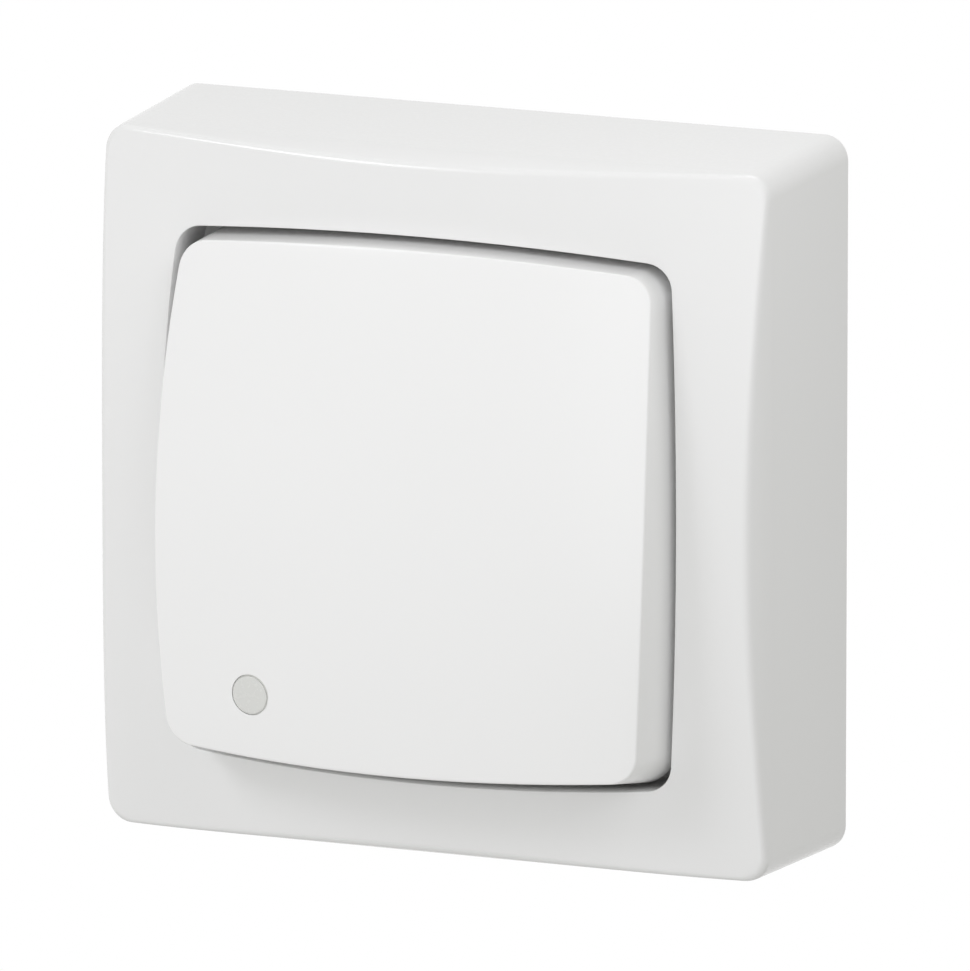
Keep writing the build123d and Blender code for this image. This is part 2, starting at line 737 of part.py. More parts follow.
# Two slotted terminal screws, standing open for a wire
with BuildPart() as terminal_screws:
    with BuildSketch(at_height(terminal_screw_tip)):
        with Locations((-terminal_spacing / 2, plunger_z), (terminal_spacing / 2, plunger_z)):
            Circle(terminal_screw_radius)
    extrude(amount=terminal_head_seat - terminal_screw_tip)
    with BuildSketch(at_height(terminal_head_seat)):
        with Locations((-terminal_spacing / 2, plunger_z), (terminal_spacing / 2, plunger_z)):
            Circle(terminal_head_radius)
    extrude(amount=terminal_head_height)
    with BuildSketch(at_height(terminal_head_seat + terminal_head_height)):
        with Locations((-terminal_spacing / 2, plunger_z), (terminal_spacing / 2, plunger_z)):
            Rectangle(2 * terminal_head_radius, screw_slot_width)
    extrude(amount=-screw_slot_depth, mode=Mode.SUBTRACT)
terminal_screws.part.label = "terminal_screws"
export_step(terminal_screws.part, "parts/terminal_screws.step")

# Lamp holder on the cover, behind the lens
with BuildPart() as lamp_holder:
    with BuildSketch(at_height(cover_top)):
        with Locations((lens_x, holder_z)):
            Rectangle(holder_width, holder_length)
    extrude(amount=holder_floor)
    with BuildSketch(at_height(cover_top)):
        with Locations((lens_x, holder_z)):
            with GridLocations(holder_width - holder_cheek, 0, 2, 1):
                Rectangle(holder_cheek, holder_length)
    extrude(amount=lamp_height + lamp_radius - cover_top)
    with BuildSketch(section_upright.offset(lens_x)):
        with Locations((holder_z, lamp_height)):
            Circle(lead_radius + running_clearance)
    extrude(amount=holder_width, both=True, mode=Mode.SUBTRACT)
lamp_holder.part.label = "lamp_holder"
export_step(lamp_holder.part, "parts/lamp_holder.step")

# Glow lamp: a glass capsule with a lead at each end
with BuildPart() as indicator_lamp:
    with BuildSketch(section_upright.offset(lens_x)):
        with Locations((holder_z, lamp_height)):
            Circle(lamp_radius)
    extrude(amount=lamp_length / 2, both=True)
    fillet(indicator_lamp.edges().filter_by(GeomType.CIRCLE), lamp_end_radius)
    with BuildSketch(section_upright.offset(lens_x)):
        with Locations((holder_z, lamp_height)):
            Circle(lead_radius)
    extrude(amount=lamp_length / 2 + lead_length, both=True)
indicator_lamp.part.label = "indicator_lamp"
export_step(indicator_lamp.part, "parts/indicator_lamp.step")
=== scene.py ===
from math import acos, asin, atan2, cos, pi, radians, sin, sqrt, tan

import bmesh
import bpy
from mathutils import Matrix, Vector


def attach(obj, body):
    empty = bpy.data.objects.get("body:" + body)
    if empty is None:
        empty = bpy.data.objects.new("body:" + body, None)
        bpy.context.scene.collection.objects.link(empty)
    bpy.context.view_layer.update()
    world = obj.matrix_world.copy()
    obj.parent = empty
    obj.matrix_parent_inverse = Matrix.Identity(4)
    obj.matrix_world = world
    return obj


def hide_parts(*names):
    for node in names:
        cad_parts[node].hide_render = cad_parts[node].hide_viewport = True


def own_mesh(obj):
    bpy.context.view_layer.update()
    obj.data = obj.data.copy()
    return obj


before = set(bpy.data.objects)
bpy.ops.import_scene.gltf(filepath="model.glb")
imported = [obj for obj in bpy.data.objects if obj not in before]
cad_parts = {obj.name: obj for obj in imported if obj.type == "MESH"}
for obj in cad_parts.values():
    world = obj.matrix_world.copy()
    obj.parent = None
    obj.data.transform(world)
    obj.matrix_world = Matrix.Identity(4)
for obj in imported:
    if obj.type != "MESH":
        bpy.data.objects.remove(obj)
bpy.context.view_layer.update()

# Base: the back plate that is screwed to the wall, with the rim that the surround clips over.
# It is moulded in off-white polycarbonate with a matt, lightly eroded finish, and never seen in use.


def moulded_plastic(name, colour, deeper_colour, gloss, dull, grain, relief):
    """Moulded plastic whose tone drifts over the piece, with the fine grain that the mould leaves."""
    material = bpy.data.materials.new(name)
    material.use_nodes = True
    nodes = material.node_tree.nodes
    link = material.node_tree.links.new
    shader = nodes["Principled BSDF"]
    place = nodes.new("ShaderNodeTexCoord")

    drift = nodes.new("ShaderNodeTexNoise")
    drift.inputs["Scale"].default_value = 45.0
    drift.inputs["Detail"].default_value = 2.0
    tone = nodes.new("ShaderNodeMix")
    tone.data_type = "RGBA"
    tone.inputs["A"].default_value = (*colour, 1.0)
    tone.inputs["B"].default_value = (*deeper_colour, 1.0)
    link(place.outputs["Object"], drift.inputs["Vector"])
    link(drift.outputs["Fac"], tone.inputs["Factor"])
    link(tone.outputs["Result"], shader.inputs["Base Color"])

    pores = nodes.new("ShaderNodeTexNoise")
    pores.inputs["Scale"].default_value = 1.0 / grain
    pores.inputs["Detail"].default_value = 4.0
    sheen = nodes.new("ShaderNodeMapRange")
    sheen.inputs["From Min"].default_value = 0.3
    sheen.inputs["From Max"].default_value = 0.7
    sheen.inputs["To Min"].default_value = gloss
    sheen.inputs["To Max"].default_value = dull
    surface = nodes.new("ShaderNodeBump")
    surface.inputs["Strength"].default_value = 1.0
    surface.inputs["Distance"].default_value = relief
    link(place.outputs["Object"], pores.inputs["Vector"])
    link(pores.outputs["Fac"], sheen.inputs["Value"])
    link(sheen.outputs["Result"], shader.inputs["Roughness"])
    link(pores.outputs["Fac"], surface.inputs["Height"])
    link(surface.outputs["Normal"], shader.inputs["Normal"])
    return material


def finish_node(material, *names):
    """Gives pieces that keep their machined or moulded form the finish of the real ones."""
    for name in names:
        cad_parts[name].material_slots[0].material = material


base_plastic = moulded_plastic(
    "base_plastic", (0.74, 0.73, 0.70), (0.70, 0.69, 0.66), gloss=0.48, dull=0.62,
    grain=0.00025, relief=0.000006,
)
finish_node(base_plastic, "base")

# Mechanism body: the open insulating box for the contacts, moulded in grey nylon as are the other pieces
# inside. It drops over the two bosses of the base, with the terminals' wire entries along its lower edge.
inner_plastic = moulded_plastic(
    "inner_plastic", (0.46, 0.47, 0.48), (0.41, 0.42, 0.43), gloss=0.38, dull=0.5,
    grain=0.0003, relief=0.000005,
)
finish_node(inner_plastic, "mechanism_body")

# Fixed contacts and terminals: brass strip stamped from the coil, and terminal blocks cut from drawn bar.
# Each strip lies on its pedestal in the body and the block stands on its outer end.


def worked_metal(name, colour, deeper_colour, gloss, dull, stretch, scratch):
    """Bare metal with the fine lines of rolling or drawing along one direction."""
    material = bpy.data.materials.new(name)
    material.use_nodes = True
    nodes = material.node_tree.nodes
    link = material.node_tree.links.new
    shader = nodes["Principled BSDF"]
    shader.inputs["Metallic"].default_value = 1.0
    place = nodes.new("ShaderNodeTexCoord")
    along = nodes.new("ShaderNodeMapping")
    along.inputs["Scale"].default_value = stretch
    lines = nodes.new("ShaderNodeTexNoise")
    lines.inputs["Scale"].default_value = 6000.0
    lines.inputs["Detail"].default_value = 3.0
    link(place.outputs["Object"], along.inputs["Vector"])
    link(along.outputs["Vector"], lines.inputs["Vector"])

    tarnish = nodes.new("ShaderNodeTexNoise")
    tarnish.inputs["Scale"].default_value = 400.0
    tone = nodes.new("ShaderNodeMix")
    tone.data_type = "RGBA"
    tone.inputs["A"].default_value = (*colour, 1.0)
    tone.inputs["B"].default_value = (*deeper_colour, 1.0)
    link(place.outputs["Object"], tarnish.inputs["Vector"])
    link(tarnish.outputs["Fac"], tone.inputs["Factor"])
    link(tone.outputs["Result"], shader.inputs["Base Color"])

    sheen = nodes.new("ShaderNodeMapRange")
    sheen.inputs["To Min"].default_value = gloss
    sheen.inputs["To Max"].default_value = dull
    surface = nodes.new("ShaderNodeBump")
    surface.inputs["Distance"].default_value = scratch
    link(lines.outputs["Fac"], sheen.inputs["Value"])
    link(sheen.outputs["Result"], shader.inputs["Roughness"])
    link(lines.outputs["Fac"], surface.inputs["Height"])
    link(surface.outputs["Normal"], shader.inputs["Normal"])
    return material


contact_brass = worked_metal(
    "contact_brass", (0.80, 0.60, 0.30), (0.70, 0.49, 0.22), gloss=0.22, dull=0.4,
    stretch=(0.05, 1.0, 1.0), scratch=0.000002,
)
finish_node(contact_brass, "line_contact", "load_contact", "line_terminal", "load_terminal")

# Terminal screws: slotted steel screws with a bright zinc plate. They go down through the terminal blocks
# and are turned tight on to the installer's wire.
zinc_steel = worked_metal(
    "zinc_steel", (0.66, 0.68, 0.70), (0.56, 0.57, 0.58), gloss=0.25, dull=0.42,
    stretch=(1.0, 1.0, 1.0), scratch=0.000002,
)
finish_node(zinc_steel, "terminal_screws")

# Springs: round spring wire, coiled cold. The return spring stands on the body's floor, and in the real
# switch it shortens as the plunger comes in; here it is one fixed coil carried by the housing. The lighter
# contact spring presses on the bridge from inside the plunger's stem.
spring_steel = worked_metal(
    "spring_steel", (0.42, 0.42, 0.43), (0.33, 0.33, 0.34), gloss=0.28, dull=0.42,
    stretch=(1.0, 1.0, 1.0), scratch=0.000001,
)
finish_node(spring_steel, "contact_spring")
spring_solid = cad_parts["return_spring"]
coil_mesh = spring_solid.data.copy()
coil_mesh.materials.clear()
coil_mesh.materials.append(spring_steel)
coil = bpy.data.objects.new("return_coil", coil_mesh)
coil.matrix_world = spring_solid.matrix_world
bpy.context.scene.collection.objects.link(coil)
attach(coil, "housing")
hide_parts("return_spring")
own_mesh(coil)

# Plunger: the slider that the cradle's nose pushes in and the return spring pushes out again. It is moulded
# in natural acetal, which is slippery and milky, and runs in the lid's guide.
plunger_plastic = moulded_plastic(
    "plunger_plastic", (0.80, 0.80, 0.76), (0.76, 0.76, 0.71), gloss=0.25, dull=0.34,
    grain=0.0004, relief=0.000002,
)
finish_node(plunger_plastic, "plunger")

# Contact bridge and tips: a stamped brass strip with two riveted silver tips, carried in the plunger's
# window. They face two more tips on the fixed strips.
contact_silver = worked_metal(
    "contact_silver", (0.86, 0.85, 0.82), (0.74, 0.72, 0.68), gloss=0.2, dull=0.36,
    stretch=(1.0, 1.0, 1.0), scratch=0.000001,
)
finish_node(contact_brass, "contact_bridge")
finish_node(contact_silver, "moving_contact_tips", "fixed_contact_tips")

# Mechanism cover and its two screws: the grey nylon lid that guides the plunger and bears the cradle in two
# ears. Two zinc-plated slotted screws go through lid and body into the base.
finish_node(inner_plastic, "mechanism_cover")
finish_node(zinc_steel, "mechanism_screws")

# Glow lamp and holder: a glass capsule of neon with a lead at each end. It lies in two cheeks of grey nylon
# that stand on the lid, behind the lens.
finish_node(inner_plastic, "lamp_holder")
lamp_glass = bpy.data.materials.new("lamp_glass")
lamp_glass.use_nodes = True
glass = lamp_glass.node_tree.nodes["Principled BSDF"]
glass.inputs["Base Color"].default_value = (0.96, 0.93, 0.90, 1.0)
glass.inputs["Transmission Weight"].default_value = 0.9
glass.inputs["IOR"].default_value = 1.5
glass_ripple = lamp_glass.node_tree.nodes.new("ShaderNodeTexNoise")
glass_ripple.inputs["Scale"].default_value = 900.0
glass_sheen = lamp_glass.node_tree.nodes.new("ShaderNodeMapRange")
glass_sheen.inputs["To Min"].default_value = 0.03
glass_sheen.inputs["To Max"].default_value = 0.12
lamp_glass.node_tree.links.new(glass_ripple.outputs["Fac"], glass_sheen.inputs["Value"])
lamp_glass.node_tree.links.new(glass_sheen.outputs["Result"], glass.inputs["Roughness"])
finish_node(lamp_glass, "indicator_lamp")

# Cradle: the grey nylon rocker that the key snaps on to. It turns on two trunnions in the lid's ears, and
# its nose presses the plunger.
finish_node(inner_plastic, "rocker_cradle")

# Surround: the square cover that shows, one glossy white moulding with drafted sides, a rolled shoulder and
# a domed front, clipped on to the base's rim. Its skin is drawn section by section round the outline, from
# the back edge over the front, through the opening and back along the inside.
mm = 0.001
surround_half = 37.5
surround_draft = radians(1.85)
surround_corner = 2.6
surround_wall = 2.0
shoulder_height = 18.8
shoulder_radius = 11.7
crown_height = 26.4
crown_radius = 206.0
ridge_radius = 1.3
inner_corner = 1.0
opening_half = 28.63
opening_left = 0.1
opening_low = 0.05
opening_bow = 1.3
opening_corner = 3.0
opening_edge = 0.1
collar_wall = 1.5
collar_height = 15.5
ledge_height = 14.0
ledge_width = 2.2
knockout_half = 7.0
knockout_height = 10.0
knockout_skin = 0.8
catch_place = 18.0
catch_half = 4.0
catch_section = ((35.79, 6.6), (34.39, 6.6), (34.39, 6.3), (35.79, 4.6))
step_width = 0.02
side_steps = 40
corner_steps = 14
side_heights = (0.0, 6.0, 12.0, 16.0)
shoulder_steps = 9
ridge_steps = 10
front_steps = 20
rim_steps = 5
collar_steps = 5
front_inside_steps = 6


def outline_columns(extra_shares=()):
    """Places round a square outline: the side, how far along it, and how far round the next corner."""
    shares = sorted([2 * i / side_steps - 1 for i in range(side_steps)] + list(extra_shares))
    turns = [i / corner_steps for i in range(corner_steps)]
    columns = []
    for side in range(4):
        columns += [(side, share, 0.0) for share in shares]
        columns += [(side, 1.0, turn) for turn in turns]
    return columns


def outline_point(column, half, bow, corner):
    """Point of a square outline whose sides swell by the bow and whose corners are rounded."""
    side, share, turn = column
    curvature = 2 * bow / ((half - bow) ** 2 + bow ** 2)
    end = half - corner
    for _ in range(10):
        lean = asin(curvature * end)
        end = half - curvature * end ** 2 / (1 + cos(lean)) - corner * (cos(lean) - sin(lean))
    z = share * end
    x = half - curvature * z ** 2 / (1 + sqrt(1 - (curvature * z) ** 2))
    angle = lean + turn * (pi / 2 - 2 * lean)
    x += corner * (cos(angle) - cos(lean))
    z += corner * (sin(angle) - sin(lean))
    for _ in range(side):
        x, z = -z, x
    return x, z


def rounded_edge(start, start_way, end, end_way, radius, steps):
    """Points of a rounded edge from start to end, leaving and arriving along the two given ways."""
    turn = acos(max(-1.0, min(1.0, start_way.dot(end_way))))
    handle = 4 / 3 * radius * tan(turn / 4)
    first = start + start_way * handle
    second = end - end_way * handle
    points = []
    for i in range(steps + 1):
        s = i / steps
        points.append(
            start * (1 - s) ** 3 + first * 3 * s * (1 - s) ** 2
            + second * 3 * s ** 2 * (1 - s) + end * s ** 3
        )
    return points


def skin_round(paths, place):
    """Closed skin through paths of equal length, each joined to the next and its end to its start."""
    count = len(paths[0])
    points = [place(*point) for path in paths for point in path]
    faces = []
    for c in range(len(paths)):
        following = (c + 1) % len(paths)
        for i in range(count):
            j = (i + 1) % count
            faces.append((c * count + i, c * count + j, following * count + j, following * count + i))
    return points, faces


def add_prism(points, faces, start, end):
    """Adds a solid between two outlines with the same number of points."""
    first = len(points)
    count = len(start)
    points += start + end
    faces.append(tuple(range(first, first + count)))
    faces.append(tuple(range(first + count, first + 2 * count)))
    for i in range(count):
        j = (i + 1) % count
        faces.append((first + i, first + j, first + count + j, first + count + i))


def add_piece(name, points, faces, material, body, sharp=30):
    """Makes the piece, shades it smooth between its sharp edges, and hands it to its body."""
    shape = bmesh.new()
    corners = [shape.verts.new(point) for point in points]
    for face in faces:
        shape.faces.new([corners[i] for i in face])
    bmesh.ops.recalc_face_normals(shape, faces=shape.faces[:])
    mesh = bpy.data.meshes.new(name)
    shape.to_mesh(mesh)
    shape.free()
    mesh.shade_smooth()
    mesh.set_sharp_from_angle(angle=radians(sharp))
    mesh.materials.append(material)
    piece = bpy.data.objects.new(name, mesh)
    bpy.context.scene.collection.objects.link(piece)
    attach(piece, body)
    return piece


def wall_place(x, height, z):
    """Point in the room, from its height out of the wall."""
    return Vector((x, -height, z)) * mm


def surround_side(column, height, inset, corner):
    """Point on the surround's side at a height out from the wall."""
    foot = surround_half - inset - shoulder_height * tan(surround_draft)
    roll = shoulder_radius - inset
    if height <= shoulder_height:
        half = foot + (shoulder_height - height) * tan(surround_draft)
    else:
        rise = height - shoulder_height + roll * sin(surround_draft)
        half = foot - roll * cos(surround_draft) + sqrt(roll ** 2 - rise ** 2)
    x, z = outline_point(column, half, 0.0, corner)
    return Vector((x, height, z))


def opening_point(column, grown):
    """Point of the opening's outline, or of one that much larger, set a hair left and low."""
    x, z = outline_point(column, opening_half + grown, opening_bow, opening_corner + max(grown, 0.0))
    return x - opening_left, z - opening_low


def crown_point(x, z, inset):
    """Point on the domed front."""
    reach = crown_radius - inset
    return Vector((x, crown_height - crown_radius + sqrt(reach ** 2 - x ** 2 - z ** 2), z))


def meeting_height(side, dome, low, high):
    """Height at which a side, given by height, runs into a dome, given by its place in front."""
    for _ in range(40):
        middle = (low + high) / 2
        point = side(middle)
        if dome(point.x, point.z).y > middle:
            low = middle
        else:
            high = middle
    return low


def rolled_edge(side, dome, goal, radius, low, high, steps):
    """Rounded edge from a side on to a dome, towards a goal on the dome."""
    nudge = 0.01
    height = meeting_height(side, dome, low, high)
    edge = side(height)
    flat = Vector((goal.x - edge.x, 0, goal.z - edge.z)).normalized() * nudge

    def side_way(at):
        return (side(at + nudge) - side(at - nudge)).normalized()

    def dome_way(at):
        return (dome(at.x + flat.x, at.z + flat.z) - dome(at.x - flat.x, at.z - flat.z)).normalized()

    turn = acos(side_way(height).dot(dome_way(edge)))
    reach = radius * tan(turn / 2)
    start = side(height - reach * side_way(height).y)
    ahead = edge + dome_way(edge) * reach
    end = dome(ahead.x, ahead.z)
    return rounded_edge(start, side_way(start.y), end, dome_way(end), radius, steps)


def surround_path(column):
    """Section of the surround at one place of its outline, from the back edge round to the back again."""
    def outer_side(height):
        return surround_side(column, height, 0.0, surround_corner)

    def inner_side(height):
        return surround_side(column, height, surround_wall, inner_corner)

    def front(x, z):
        return crown_point(x, z, 0.0)

    def front_inside(x, z):
        return crown_point(x, z, surround_wall)

    hole = opening_point(column, 0.0)
    rim = front(*hole)
    ridge = rolled_edge(outer_side, front, rim, ridge_radius, shoulder_height, crown_height, ridge_steps)
    down = Vector((0, -1, 0))
    over_rim = (rim - ridge[-1]).normalized()
    rim_reach = opening_edge * tan(acos(over_rim.dot(down)) / 2)
    before_rim = rim - over_rim * rim_reach
    rim_start = front(before_rim.x, before_rim.z)
    rim_end = rim + down * rim_reach

    path = [outer_side(height) for height in side_heights]
    for i in range(shoulder_steps):
        path.append(outer_side(shoulder_height + (ridge[0].y - shoulder_height) * i / shoulder_steps))
    path += ridge
    for i in range(1, front_steps):
        flat = ridge[-1].lerp(rim_start, i / front_steps)
        path.append(front(flat.x, flat.z))
    path += rounded_edge(rim_start, over_rim, rim_end, down, opening_edge, rim_steps)
    wall_foot = Vector((hole[0], collar_height, hole[1]))
    for i in range(1, collar_steps + 1):
        path.append(rim_end.lerp(wall_foot, i / collar_steps))

    collar = opening_point(column, collar_wall)
    collar_root = front_inside(*collar)
    ledge = opening_point(column, -ledge_width)
    path += [Vector((ledge[0], height, ledge[1])) for height in (collar_height, ledge_height)]
    path += [Vector((collar[0], ledge_height, collar[1])), collar_root]
    inner_ridge = meeting_height(inner_side, front_inside, shoulder_height - surround_wall, crown_height)
    for i in range(1, front_inside_steps):
        flat = collar_root.lerp(inner_side(inner_ridge), i / front_inside_steps)
        path.append(front_inside(flat.x, flat.z))
    path += [inner_side(height) for height in (inner_ridge, shoulder_height)]
    knocked_out = column[0] in (1, 3) and abs(path[-1].x) < knockout_half
    for height, below in ((knockout_height + step_width, False), (knockout_height, True), (0.0, True)):
        point = inner_side(height)
        if knocked_out and below:
            point.z = (surround_half - knockout_skin) * (1 if point.z > 0 else -1)
        path.append(point)
    return path


surround_plastic = moulded_plastic(
    "surround_plastic", (0.88, 0.88, 0.876), (0.87, 0.87, 0.866), gloss=0.17, dull=0.23,
    grain=0.0004, relief=0.0000001,
)
inner_end = surround_half - surround_wall - inner_corner
knockout_shares = [
    side * (knockout_half + edge) / inner_end for side in (-1, 1) for edge in (-step_width, step_width)
]
surround_paths = [surround_path(column) for column in outline_columns(knockout_shares)]
surround_points, surround_faces = skin_round(surround_paths, wall_place)
for x in (-catch_place, catch_place):
    for upward in (-1, 1):
        ends = [
            [wall_place(x + end * catch_half, height, upward * z) for z, height in catch_section]
            for end in (-1, 1)
        ]
        add_prism(surround_points, surround_faces, *ends)
surround = add_piece(
    "surround", surround_points, surround_faces, surround_plastic, "housing"
)
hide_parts("frame")

# Key: the pillow-shaped push plate, one moulding in the same glossy white. It snaps on to the cradle and
# stands at the cradle's rest tilt, with its lower edge out, so its skin is drawn level and then tilted.
key_half = 27.15
key_bow = 1.45
key_corner = 3.0
key_wall = 2.0
key_edge = 0.3
key_face = 32.7
key_dome_radius = 118.0
key_skirt = 18.5
key_draft = radians(5.5)
key_edge_height = 29.5
pivot_height = 21.5
rest_tilt = radians(4.56)
lens_x = -15.72
lens_z = -19.96
lens_hole = 2.15
lens_boss_wall = 1.4
lens_boss_height = 26.4
foot_places = ((8.0, 11.0), (8.0, -11.0), (-8.0, 11.0), (-8.0, -11.0))
foot_radius = 1.9
foot_height = 26.5
foot_sides = 32
leg_inside = 4.3
leg_outside = 5.7
leg_half_width = 2.5
leg_height = 23.55
barb_height = 24.55
barb_outside = 6.3
rib_depth = 1.6
rib_half = 0.5
root_depth = 0.4
key_wall_steps = 6
key_edge_steps = 7
key_face_steps = 32
key_inside_steps = 8
rib_steps = 12


def key_place(x, height, z):
    """Point in the room, from its place on the key while the key is level."""
    rise = height - pivot_height
    tilted_height = pivot_height + rise * cos(rest_tilt) - z * sin(rest_tilt)
    return Vector((x, -tilted_height, z * cos(rest_tilt) + rise * sin(rest_tilt))) * mm


def key_face_point(x, z, inset):
    """Point on the key's domed face."""
    reach = key_dome_radius - inset
    return Vector((x, key_face - key_dome_radius + sqrt(reach ** 2 - x ** 2 - z ** 2), z))


def key_side(column, height, inset):
    """Point on the key's drafted side, which flares towards the skirt."""
    flare = (key_edge_height - height) * tan(key_draft) - inset
    x, z = outline_point(column, key_half + flare, key_bow, key_corner + max(flare, -inset / 2))
    return Vector((x, height, z))


def key_path(column, hole_angle):
    """Section of the key at one place of its outline, from the skirt to the lens hole and back inside."""
    def outer_side(height):
        return key_side(column, height, 0.0)

    def inner_side(height):
        return key_side(column, height, key_wall)

    def face(x, z):
        return key_face_point(x, z, 0.0)

    def face_inside(x, z):
        return key_face_point(x, z, key_wall)

    centre = Vector((lens_x, 0, lens_z))
    around = Vector((cos(hole_angle), 0, sin(hole_angle)))
    hole = centre + around * lens_hole
    boss = centre + around * (lens_hole + lens_boss_wall)
    middle = Vector((0, 0, 0))
    edge = rolled_edge(outer_side, face, middle, key_edge, key_skirt, key_face, key_edge_steps)
    wall_height = edge[0].y - key_skirt
    path = [outer_side(key_skirt + wall_height * i / key_wall_steps) for i in range(key_wall_steps)]
    path += edge
    for i in range(1, key_face_steps + 1):
        flat = edge[-1].lerp(hole, i / key_face_steps)
        path.append(face(flat.x, flat.z))
    path.append(Vector((hole.x, lens_boss_height, hole.z)))
    path.append(Vector((boss.x, lens_boss_height, boss.z)))
    inner_edge = inner_side(meeting_height(inner_side, face_inside, key_skirt, key_face))
    for i in range(key_inside_steps + 1):
        flat = boss.lerp(inner_edge, i / key_inside_steps)
        path.append(face_inside(flat.x, flat.z))
    path.append(inner_side(key_skirt))
    return path


key_columns = outline_columns()
key_angles = []
for column in key_columns:
    x, z = outline_point(column, key_half, key_bow, key_corner)
    key_angles.append(atan2(z - lens_z, x - lens_x))
even_angles = [2 * pi * i / len(key_columns) for i in range(len(key_columns))]
lag_sine = sum(sin(angle - even) for angle, even in zip(key_angles, even_angles))
lag_cosine = sum(cos(angle - even) for angle, even in zip(key_angles, even_angles))
lag = atan2(lag_sine, lag_cosine)
key_plastic = moulded_plastic(
    "key_plastic", (0.93, 0.93, 0.926), (0.92, 0.92, 0.916), gloss=0.17, dull=0.23,
    grain=0.0004, relief=0.0000001,
)
key_paths = [key_path(column, even + lag) for column, even in zip(key_columns, even_angles)]
key_points, key_faces = skin_round(key_paths, key_place)
for x, z in foot_places:
    turns = [2 * pi * i / foot_sides for i in range(foot_sides)]
    rim = [(x + foot_radius * cos(turn), z + foot_radius * sin(turn)) for turn in turns]
    foot_top = key_face_point(x, z, key_wall - root_depth).y
    ends = [[key_place(across, height, up) for across, up in rim] for height in (foot_height, foot_top)]
    add_prism(key_points, key_faces, *ends)
leg_top = key_face_point(leg_inside, 0.0, key_wall - root_depth).y
for side in (-1, 1):
    leg_section = (
        (leg_inside, leg_top), (leg_outside, leg_top), (leg_outside, barb_height),
        (barb_outside, barb_height), (barb_outside, leg_height), (leg_inside, leg_height),
    )
    ends = [
        [key_place(side * x, height, end * leg_half_width) for x, height in leg_section] for end in (-1, 1)
    ]
    add_prism(key_points, key_faces, *ends)
rib_end = key_half - key_wall / 2
for along in (-1, 1):
    for upright in (False, True):
        middle = along * (foot_places[0][0] if upright else foot_places[0][1])
        way = [rib_end * (2 * i / rib_steps - 1) for i in range(rib_steps + 1)]
        spots = [(middle, step) if upright else (step, middle) for step in way]
        upper = [key_face_point(x, z, key_wall - root_depth).y for x, z in spots]
        lower = [max(foot_height, key_face_point(x, z, key_wall + rib_depth).y) for x, z in spots]
        levels = list(zip(spots, upper)) + list(zip(reversed(spots), reversed(lower)))
        ends = []
        for half in (-rib_half, rib_half):
            shift = (half, 0.0) if upright else (0.0, half)
            ends.append([key_place(x + shift[0], height, z + shift[1]) for (x, z), height in levels])
        add_prism(key_points, key_faces, *ends)
push_key = add_piece("push_key", key_points, key_faces, key_plastic, "rocker")
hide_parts("key")

# Lens: a light guide moulded in pale, slightly milky grey plastic, pushed into the key's boss from behind
# until its flange meets the boss. Its face follows the key's, with a fine groove round it, and sits a hair
# left and low.
lens_face_radius = 2.0
lens_edge = 0.08
lens_recess = 0.02
lens_left = 0.08
lens_low = 0.06
groove_depth = 0.18
lens_fit = 2.13
lens_flange = 3.15
lens_flange_thickness = 0.9
lens_stem = 1.5
lens_stem_length = 2.6
lens_sides = 96
lens_face_rings = 5
lens_edge_rings = 4


def lens_ring(radius, height=None, sunk=0.0, left=0.0, low=0.0):
    """Ring of points round the lens, at a height of its own or sunk below the key's face."""
    ring = []
    for i in range(lens_sides):
        angle = 2 * pi * i / lens_sides
        x = lens_x - left + radius * cos(angle)
        z = lens_z - low + radius * sin(angle)
        level = key_face_point(x, z, lens_recess + sunk).y if height is None else height
        ring.append(key_place(x, level, z))
    return ring


lens_plastic = moulded_plastic(
    "lens_plastic", (0.75, 0.755, 0.73), (0.727, 0.732, 0.707), gloss=0.22, dull=0.3,
    grain=0.0005, relief=0.000001,
)
flange_back = lens_boss_height - lens_flange_thickness
lens_rings = []
for i in range(1, lens_face_rings + 1):
    radius = (lens_face_radius - lens_edge) * i / lens_face_rings
    lens_rings.append(lens_ring(radius, left=lens_left, low=lens_low))
for i in range(1, lens_edge_rings + 1):
    swing = pi / 2 * i / lens_edge_rings
    radius = lens_face_radius - lens_edge + lens_edge * sin(swing)
    sunk = lens_edge * (1 - cos(swing))
    lens_rings.append(lens_ring(radius, sunk=sunk, left=lens_left, low=lens_low))
lens_rings.append(lens_ring(lens_face_radius, sunk=groove_depth, left=lens_left, low=lens_low))
lens_rings.append(lens_ring(lens_fit, sunk=groove_depth))
for radius, height in (
    (lens_fit, lens_boss_height), (lens_flange, lens_boss_height), (lens_flange, flange_back),
    (lens_stem, flange_back), (lens_stem, flange_back - lens_stem_length),
):
    lens_rings.append(lens_ring(radius, height=height))
lens_points = [point for ring in lens_rings for point in ring]
lens_faces = [tuple(range(lens_sides))]
for r in range(len(lens_rings) - 1):
    for i in range(lens_sides):
        j = (i + 1) % lens_sides
        near, far = r * lens_sides, (r + 1) * lens_sides
        lens_faces.append((near + i, far + i, far + j, near + j))
lens_faces.append(tuple(range(len(lens_points) - lens_sides, len(lens_points))))
lens = add_piece("lens", lens_points, lens_faces, lens_plastic, "rocker")
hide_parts("indicator_lens")

